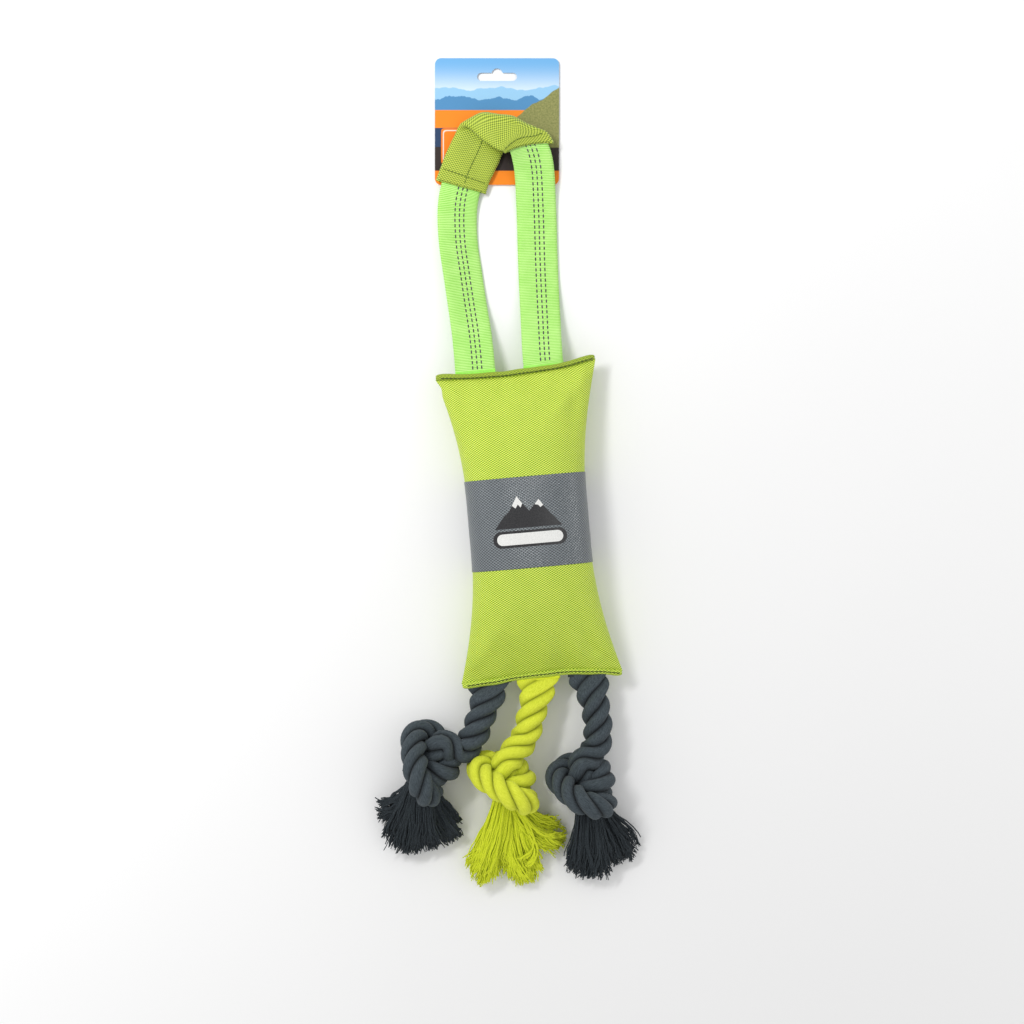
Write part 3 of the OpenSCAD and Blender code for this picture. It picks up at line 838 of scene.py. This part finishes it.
def hem_rings(sign):
    """Rings of a rolled hem from side to side; sign is 1 at the handle end."""
    x = np.linspace(-END_W / 2 + 0.6, END_W / 2 - 0.6, HEM_RINGS)
    y = np.full_like(x, sign * END_Y)
    wave = wobble(x, HEM_SEED + sign, HEM_WAVE)
    half = end_half(x, y) + (0.9 if sign > 0 else 0.35)
    corner = 1 - np.clip((np.abs(x) - (END_W / 2 - 7)) / 6.4, 0, 1) ** 2
    long = HEM_L * (0.55 + 0.45 * np.sqrt(corner)) + 0.5 * wave
    angle = np.arange(HEM_SIDES) * 2 * np.pi / HEM_SIDES
    c, s = np.cos(angle), np.sin(angle)
    out = np.sign(c) * np.abs(c) ** 0.75 * 0.5 + 0.5
    rise = np.sign(s) * np.abs(s) ** 0.7
    taper = 0.45 + 0.55 * np.sqrt(corner)
    yy = sign * (END_Y - 0.8 + out[None] * (long[:, None] + 0.8)) + hem_shift(x, y)[:, None]
    zz = HEM_Z + rise[None] * (half * taper)[:, None] + 0.5 * wave[:, None]
    rings = np.stack([np.broadcast_to(x[:, None], yy.shape), yy, zz], -1)
    around = np.arange(HEM_SIDES + 1)[None] * 1.2
    uv = np.stack(np.broadcast_arrays(x[:, None], around), -1)
    return rings, uv


def stitch(shape, a, b, lift):
    """One thread stitch from a to b that stands a little off the cloth."""
    t = np.linspace(0, 1, 6)[:, None]
    line = mix(a, b, t) + np.sin(t * np.pi) * np.asarray(lift)
    radius = STITCH_W / 2 * (0.45 + 0.55 * np.sin(t[:, 0] * np.pi) ** 0.5)
    shape.rings(tube_rings(line, radius, 6, lift))


def make_hem(sign, name, cloth, slot, seam, proud):
    """A hem with a row of stitches on both faces. seam is how far from the pouch the row lies and
    proud how far it stands off the cloth."""
    shape = Shape()
    shape.rings(*hem_rings(sign))
    hem = shape.build(f"{name}_fold", cloth)
    attach(hem, "pouch", "cover_fabric", name)
    row = Shape()
    for face in (1, -1):
        for x in np.arange(-60, 60, STITCH_PITCH):
            ends = np.array([x, x + STITCH_L])
            edge = np.full(2, sign * END_Y)
            wave = wobble(ends, HEM_SEED + sign, HEM_WAVE)
            y = sign * (END_Y + seam + 0.3 * wave) + hem_shift(ends, edge)
            z = HEM_Z + 0.5 * wave + face * (end_half(ends, edge) + proud)
            a, b = np.stack([ends, y, z], 1)
            stitch(row, a, b, (0, 0, face * 0.45))
    # The top hem's thread is green and is drawn dark too: the dark colour paints the shade of its
    # sunken stitch line.
    threads = row.build(f"{name}_stitches", dark_thread_look)
    attach(threads, "pouch", slot, f"{name}_thread")


make_hem(1, "top_hem", shaded_hem_look, "green_thread", 0.6, 0.75)
make_hem(-1, "bottom_hem", cover_look, "dark_thread", 1.9, 0.5)

# ---------- handle ----------

WEB_W = 32.0
WEB_T = 2.0
WEB_RIB = 1.3  # from rib to rib
FOLD_R = 4.5  # the loop's top is folded back over a line, round this radius
FOLD_AT = np.array([-4.0, 319.0])
FOLD_ANGLE = math.radians(4)
FOLD_ALONG = np.array([math.cos(FOLD_ANGLE), math.sin(FOLD_ANGLE)])
FOLD_OUT = np.array([-math.sin(FOLD_ANGLE), math.cos(FOLD_ANGLE)])
FOLD_ARC = math.pi * FOLD_R
# Stations of the loop: x, y, z and how far the webbing is rolled, in degrees
LEFT_LEG = [
    (-32, 126.8, 20, 0), (-32, 140, 17, -4), (-32.5, 158, 11, -9), (-34, 180, 6.6, -14),
    (-35.5, 205, 5.2, -14), (-36.8, 228, 5, -14), (-36, 250, 4.8, -10), (-33, 267, 4.9, -5),
    (-26.5, 284, 5.2, 0), (-17, 301, 5.2, 0), (-10, 313, 5.2, 0)]
TURN = [(-3.5, 322, 5.4, 0), (3, 330, 6, -6), (9.5, 337.5, 6.8, -14)]  # before it is folded
RIGHT_LEG = [
    (19.5, 310.5, 17.5, -18), (25.5, 301, 16.5, -14), (28.3, 290, 12.5, -4), (29, 278, 8, 0),
    (28.5, 262, 3.9, 0), (27.5, 240, 1.8, 0), (26, 215, 1.6, 0), (24.8, 190, 2.2, 0),
    (23.6, 160, 8, 0), (22.8, 141, 16.5, 0), (22.5, 126.8, 20, 0)]


def unfold(p):
    """Where a station past the fold lies before the loop is folded."""
    d = np.array(p[:2]) - FOLD_AT
    q = FOLD_AT + (d @ FOLD_ALONG) * FOLD_ALONG + (FOLD_ARC - d @ FOLD_OUT) * FOLD_OUT
    return (q[0], q[1], p[2] - 2 * FOLD_R, p[3])


LOOP = catmull(LEFT_LEG + TURN + [unfold(p) for p in RIGHT_LEG], 5)
LOOP[0, 1] -= 3.0  # both ends reach into the hem
LOOP[-1, 1] += 3.0
LOOP_S = along(LOOP[:, :2])
GRIP_ENDS = (37, 75)  # which points of the loop the grip runs between
GRIP_FROM, GRIP_TO = (LOOP_S[i] for i in GRIP_ENDS)


def slump(p):
    """How far the folded top of the loop slumps: up on its left, down on its right."""
    up = 4.5 * np.exp(-((p[..., 0] + 8) / 14) ** 2)
    down = 8.5 * np.exp(-((p[..., 0] - 31) / 12) ** 2)
    return smooth((p[..., 1] - 300) / 26) * (up - down)


def loop_points(s, v, off):
    """Points of the loop at distances s along it, v across it and off from its middle layer."""
    s, v, off = np.broadcast_arrays(s, v, off)
    s = s + 0.24 * v * np.exp(-((s - GRIP_TO) / 17.0) ** 2)  # it shears where it buckles
    flat = np.stack([np.interp(s, LOOP_S, LOOP[:, k]) for k in range(4)], -1)
    slope = np.stack([np.interp(s, LOOP_S, np.gradient(LOOP[:, k], LOOP_S)) for k in (0, 1)], -1)
    slope = unit(slope)
    side = np.stack([slope[..., 1], -slope[..., 0]], -1)
    roll = np.radians(flat[..., 3])
    q = flat[..., :2] + side * (v * np.cos(roll))[..., None]
    z = flat[..., 2] + v * np.sin(roll)
    d = q - FOLD_AT
    c, h = d @ FOLD_ALONG, d @ FOLD_OUT
    a = np.clip(h, 0, FOLD_ARC) / FOLD_R
    out = np.where(h < 0, h, np.where(h > FOLD_ARC, FOLD_ARC - h, (FOLD_R + off) * np.sin(a)))
    up = FOLD_R - (FOLD_R + off) * np.cos(a)
    p = FOLD_AT + c[..., None] * FOLD_ALONG + out[..., None] * FOLD_OUT
    return np.stack([p[..., 0], p[..., 1] + slump(p), z + up], -1)


def webbing_material():
    """Ribs across the webbing with fine yarns along it. The colour darkens in the troughs between
    the ribs, which is painted shade.
    """
    look = Look("webbing_weave", 0.6, 0.2, 0.35)
    u, v = look.cloth()
    ribs = look.math("SINE", look.math("MULTIPLY", v, 2 * math.pi / WEB_RIB))
    fine = look.math("SINE", look.math("MULTIPLY", u, 2 * math.pi / 0.9))
    tone = look.noise(look.here(), 90.0)
    # the darker colour in the rib troughs is painted shade
    share = look.math("ADD", look.step(ribs, -1.0, 0.6, 0.0, 0.85),
                      look.step(tone, 0.3, 0.7, 0.0, 0.15))
    look.paint(look.blend(share, (0.24, 0.70, 0.05), (0.64, 1.0, 0.32)))
    look.bump(look.math("ADD", ribs, look.math("MULTIPLY", fine, 0.25)), 0.12)
    return look.material


def bend_at_hem(piece):
    """The handle bends just past the hem as it swings; here a piece of it only has its place baked
    into its mesh.
    """
    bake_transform(piece)


def make_webbing():
    s = np.arange(0, LOOP_S[-1], WEB_RIB / 4)
    ribs = np.cos(s / WEB_RIB * 2 * np.pi)
    rib = 0.14 * ribs
    half = WEB_W / 2
    v = np.linspace(-half, half, 15)
    edge = np.sqrt(np.clip(1 - (np.abs(v) / half) ** 12, 0, 1))
    thick = 0.25 + (WEB_T / 2 - 0.25) * edge
    cross_v = np.r_[v, v[::-1]]
    cross_t = np.r_[-thick, thick[::-1]]
    sign = np.sign(cross_t)
    off = cross_t[None] + sign[None] * rib[:, None] * np.r_[edge, edge[::-1]][None]
    points = loop_points(s[:, None], cross_v[None] * (1 + 0.008 * ribs[:, None]), off)
    around = np.r_[cross_v + half, 2 * WEB_W]
    uv = np.stack(np.broadcast_arrays(around[None], s[:, None]), -1)
    shape = Shape()
    shape.rings(points, uv)
    piece = shape.build("webbing_loop", webbing_material())
    attach(piece, None, "webbing", "handle_webbing")
    bend_at_hem(piece)


TRACER_SIDE = 1.8  # how far off the webbing's middle the middle one of the three lines lies
TRACER_PITCH = 3.6  # from line to line
DASH_PITCH = 4.3
DASH_L = 2.8
DASH_W = 0.55
DASH_T = 0.22


def make_tracers():
    """Three dashed lines on both faces of the webbing, left out where the grip covers them."""
    shape = Shape()
    t = np.linspace(0, 1, 5)
    swell = np.sqrt(np.clip(1 - (2 * t - 1) ** 4, 0, 1))
    angle = np.arange(6) * 2 * np.pi / 6
    for k in (-1, 0, 1):
        for face in (-1, 1):
            for s0 in np.arange(2.0, LOOP_S[-1] - 4, DASH_PITCH):
                if GRIP_FROM + 4 < s0 < GRIP_TO - 6:
                    continue
                s = s0 + t * DASH_L
                wide = DASH_W * np.cos(angle)[None] * (0.5 + 0.5 * swell[:, None])
                v = TRACER_SIDE + k * TRACER_PITCH + wide
                off = face * (WEB_T / 2 + 0.1 + DASH_T * np.sin(angle)[None] * swell[:, None])
                shape.rings(loop_points(s[:, None], v, off))
    piece = shape.build("tracer_dashes", tracer_look)
    attach(piece, None, "tracer_thread", "tracer_threads")
    bend_at_hem(piece)


GRIP_W = 41.6
GRIP_T = 6.0
GRIP_CLOTH = 0.9
GRIP_COLUMNS = 40  # of points on each face
GRIP_RINGS = 170
GRIP_FOLD_L = 7.0  # how far from its ends the grip is sewn thinner


def grip_profile(v):
    """How thick the grip is across its width, from 0 at its edges to 1."""
    return np.sqrt(np.clip(1 - np.abs(v / (GRIP_W / 2)) ** 6, 0, 1))


def grip_half(s, v):
    """Half the thickness of the grip, thinner at its ends and thicker at the turn, with folds."""
    u = (s - GRIP_FROM) / (GRIP_TO - GRIP_FROM)
    end = (np.exp(-((s - GRIP_FROM) / GRIP_FOLD_L) ** 2)
           + np.exp(-((GRIP_TO - s) / GRIP_FOLD_L) ** 2))
    half = GRIP_T / 2 - 0.5 * end + 0.35 * np.sin(v / 5.0 + s / 6.0) * (1 - end)
    return half + 0.6 * np.exp(-((u - 0.5) / 0.2) ** 2)


def make_grip():
    """A flat tube of cloth round the webbing, open at both ends."""
    s = np.linspace(GRIP_FROM, GRIP_TO, GRIP_RINGS)
    u = np.linspace(1, -1, GRIP_COLUMNS + 1)[:-1]
    half_v = GRIP_W / 2
    v = np.r_[u, -u] * half_v
    sign = np.r_[np.ones(GRIP_COLUMNS), -np.ones(GRIP_COLUMNS)]
    hem = (0.25 * np.exp(-((s - GRIP_FROM - 1.5) / 1.6) ** 4)
           + 0.25 * np.exp(-((GRIP_TO - 1.5 - s) / 1.6) ** 4))
    off = sign[None] * grip_profile(v)[None] * (grip_half(s[:, None], v[None]) + hem[:, None])
    wide = 1 + 0.02 * wobble(s, 21, 9.0)[:, None]
    outer = loop_points(s[:, None], v[None] * wide, off)
    inner = loop_points(s[:, None], v[None] * wide * (1 - GRIP_CLOTH / half_v),
                        off * (1 - GRIP_CLOTH / (GRIP_T / 2)))
    rings = np.concatenate([outer, inner[::-1], outer[:1]])
    around = np.r_[0, np.cumsum(np.abs(np.diff(v)))]
    around = np.r_[around, around[-1] + GRIP_W / GRIP_COLUMNS]
    long = np.r_[s, s[::-1], s[:1]]
    uv = np.stack(np.broadcast_arrays(around[None], long[:, None]), -1)
    shape = Shape()
    shape.rings(rings, uv, caps=False)
    piece = shape.build("grip_tube", grip_look)
    attach(piece, "handle", "grip_fabric", "grip_sleeve")


def grip_stitches(name, node, spots):
    """Stitches on the grip: each spot is s0, v0, s1, v1 and the face it lies on."""
    shape = Shape()
    for s0, v0, s1, v1, face in spots:
        t = np.linspace(0, 1, 4)
        s, v = mix(s0, s1, t), mix(v0, v1, t)
        base = grip_profile(v) * grip_half(s, v)
        line = loop_points(s, v, face * (base + 0.12 + 0.25 * np.sin(t * np.pi)))
        shape.rings(tube_rings(line, 0.33, 5))
    piece = shape.build(name, green_thread_look)
    attach(piece, "handle", "green_thread", node)


def make_grip_stitches():
    hems = [(s, v, s, v + 2.2, face) for s in (GRIP_FROM + 9, GRIP_TO - 8)
            for v in np.arange(-18, 16.5, 3.0) for face in (-1, 1)]
    edges = [(s, v, s, v + 1.2, face) for s in (GRIP_FROM + 0.8, GRIP_TO - 0.8)
             for v in np.arange(-18, 17.5, 2.0) for face in (-1, 1)]
    seam = [(s, 2.0, s + 2.2, 2.0, -1) for s in np.arange(GRIP_FROM + 4, GRIP_TO - 6, 3.0)]
    grip_stitches("grip_hem_stitches", "grip_hem_threads", hems + edges)
    grip_stitches("grip_seam_stitches", "grip_seam_thread", seam)


make_webbing()
make_tracers()
make_grip()
make_grip_stitches()

# ---------- card ----------

CARD_AT = (2.6, 324.6)  # the middle of the card
CARD_TURN = math.radians(-5)
# Heights on the card are measured from its middle. A ridge of hills has its height, how much it
# varies, how fine it is and its colour. A bar has its top edge and its colour, and the next bar
# covers it from there down. A frame of the badge has its half width and its colour.
CARD_RIDGES = ((27, 14, 0.05, (0.30, 0.56, 0.80)), (19, 12, 0.08, (0.08, 0.26, 0.50)))
CARD_BARS = ((9.2, (0.92, 0.25, 0.012)), (-5.2, (0.02, 0.05, 0.12)),
             (-20.5, (0.03, 0.02, 0.018)), (-39.7, (0.95, 0.25, 0.008)))
CARD_BADGE = ((13.0, (0.95, 0.22, 0.008)), (11.6, (0.8, 0.75, 0.7)), (10.8, (0.92, 0.22, 0.008)))


def card_material():
    """A plain outdoor print: sky, hills, coloured bars and a badge, with no words or marks."""
    look = Look("card_print", 0.45, 0.0, 0.2)
    turn = -CARD_TURN
    cx = math.cos(turn) * CARD_AT[0] - math.sin(turn) * CARD_AT[1]
    cy = math.sin(turn) * CARD_AT[0] + math.cos(turn) * CARD_AT[1]
    place = look.node("ShaderNodeMapping", {"Vector": look.here(), "Rotation": (0, 0, turn),
                                            "Location": (-cx * MM, -cy * MM, 0)})
    parts = look.node("ShaderNodeSeparateXYZ", {0: place.outputs[0]})
    x = look.math("MULTIPLY", parts.outputs[0], 1 / MM)
    y = look.math("MULTIPLY", parts.outputs[1], 1 / MM)
    colour = look.blend(look.step(y, 8.0, 50.0), (0.88, 0.95, 1.0), (0.16, 0.42, 0.74))
    for height, size, scale, paint in CARD_RIDGES:
        bumps = look.noise(look.vector(x, float(height)), scale, 3.0)
        ridge = look.math("MULTIPLY_ADD", bumps, size, height - size / 2)
        colour = look.blend(look.step(look.math("SUBTRACT", ridge, y), -0.4, 0.4), colour, paint)
    for top, paint in CARD_BARS:
        colour = look.blend(look.step(look.math("SUBTRACT", top, y), -0.3, 0.3), colour, paint)
    slope = look.math("MULTIPLY_ADD", look.noise(look.vector(x, 3.0), 0.06, 2.0), 10.0,
                      look.math("MULTIPLY_ADD", x, 0.7, -12.0))
    grass = look.blend(look.noise(look.here(), 700.0), (0.10, 0.13, 0.03), (0.40, 0.38, 0.14))
    hill = look.math("MULTIPLY", look.step(look.math("SUBTRACT", slope, y), -0.4, 0.4),
                     look.step(y, -21.5, -20.5))
    colour = look.blend(hill, colour, grass)
    for half, paint in CARD_BADGE:
        dx = look.math("SUBTRACT", look.math("ABSOLUTE", look.math("ADD", x, 32.0)), half)
        dy = look.math("SUBTRACT", look.math("ABSOLUTE", look.math("ADD", y, 20.0)), half + 1.5)
        inside = look.step(look.math("SMOOTH_MAX", dx, dy, 4.0), 0.3, -0.3)
        colour = look.blend(inside, colour, paint)
    look.paint(colour)
    look.bump(look.noise(look.here(), 400.0), 0.01)
    return look.material


def dress(node, material):
    """Gives a CAD node that stays in view its material."""
    piece = bpy.data.objects[node]
    piece.data.materials.clear()
    piece.data.materials.append(material)


def tails_material():
    """Rope ends: the middle one is lime and the two beside it are slate."""
    look = Look("rope_ends", 0.9)
    parts = look.node("ShaderNodeSeparateXYZ", {0: look.here()})
    off = look.math("ABSOLUTE", look.math("SUBTRACT", parts.outputs[0], ROPE_X[1] * MM))
    share = look.noise(look.here(), THREAD_GRAIN)
    lime = look.blend(share, *LIME_YARN)
    slate = look.blend(share, *SLATE_YARN)
    look.paint(look.blend(look.step(off, 0.0185, 0.0190), lime, slate))
    look.bump(share, 0.2)
    return look.material


dress("hang_card", card_material())
dress("card_pin", plain("clear_plastic", (0.6, 0.6, 0.6), 0.3))
dress("foam_core", plain("filling_fibre", (0.6, 0.6, 0.58), 0.9))
dress("back_seam_tape", green_thread_look)
dress("webbing_tails", plain("webbing_end", (0.3, 0.8, 0.08), 0.7))
dress("rope_tails", tails_material())
dress("webbing_tail_bartacks", green_thread_look)
dress("rope_tail_bartacks", dark_thread_look)

# ---------- floor and light ----------

# Sizes and places here are in metres
FLOOR_HALF = 4.0
FLOOR_Z = -0.0006  # just below the part, so that no faces coincide
SKY_POWER = 0.74


def make_floor():
    look = Look("floor_paint", 0.9, 0.0, 0.1)
    look.paint(look.blend(look.noise(look.here(), 3.0), (0.93, 0.93, 0.93), (0.95, 0.95, 0.95)))
    mesh = bpy.data.meshes.new("floor")
    corners = [(x * FLOOR_HALF, y * FLOOR_HALF, 0) for x, y in ((-1, -1), (1, -1), (1, 1), (-1, 1))]
    mesh.from_pydata(corners, [], [(0, 1, 2, 3)])
    floor = placed("floor", mesh, look.material)
    floor.location.z = FLOOR_Z


def area_light(name, at, size, watts):
    """A square light that faces the part."""
    data = bpy.data.lights.new(name, "AREA")
    data.energy = watts
    data.size = size
    light = bpy.data.objects.new(name, data)
    light.location = at
    aim = -np.array(at) / np.linalg.norm(at)
    light.rotation_euler = (math.acos(-aim[2]), 0.0, math.atan2(aim[0], -aim[1]))
    bpy.context.scene.collection.objects.link(light)
    return light


def make_light():
    world = bpy.data.worlds.new("world")
    world.use_nodes = True
    background = world.node_tree.nodes["Background"]
    background.inputs["Color"].default_value = (1, 1, 1, 1)
    background.inputs["Strength"].default_value = SKY_POWER
    bpy.context.scene.world = world
    area_light("key", (-0.9, 0.9, 1.7), 0.7, 58)
    area_light("fill", (1.5, 0.2, 1.6), 1.5, 17)
    glint = area_light("glint", (1.0, 0.2, 1.6), 0.5, 30)
    glint.visible_diffuse = False  # it only shows in the gloss of the weaves
    bpy.context.scene.view_settings.view_transform = "Standard"


make_floor()
make_light()
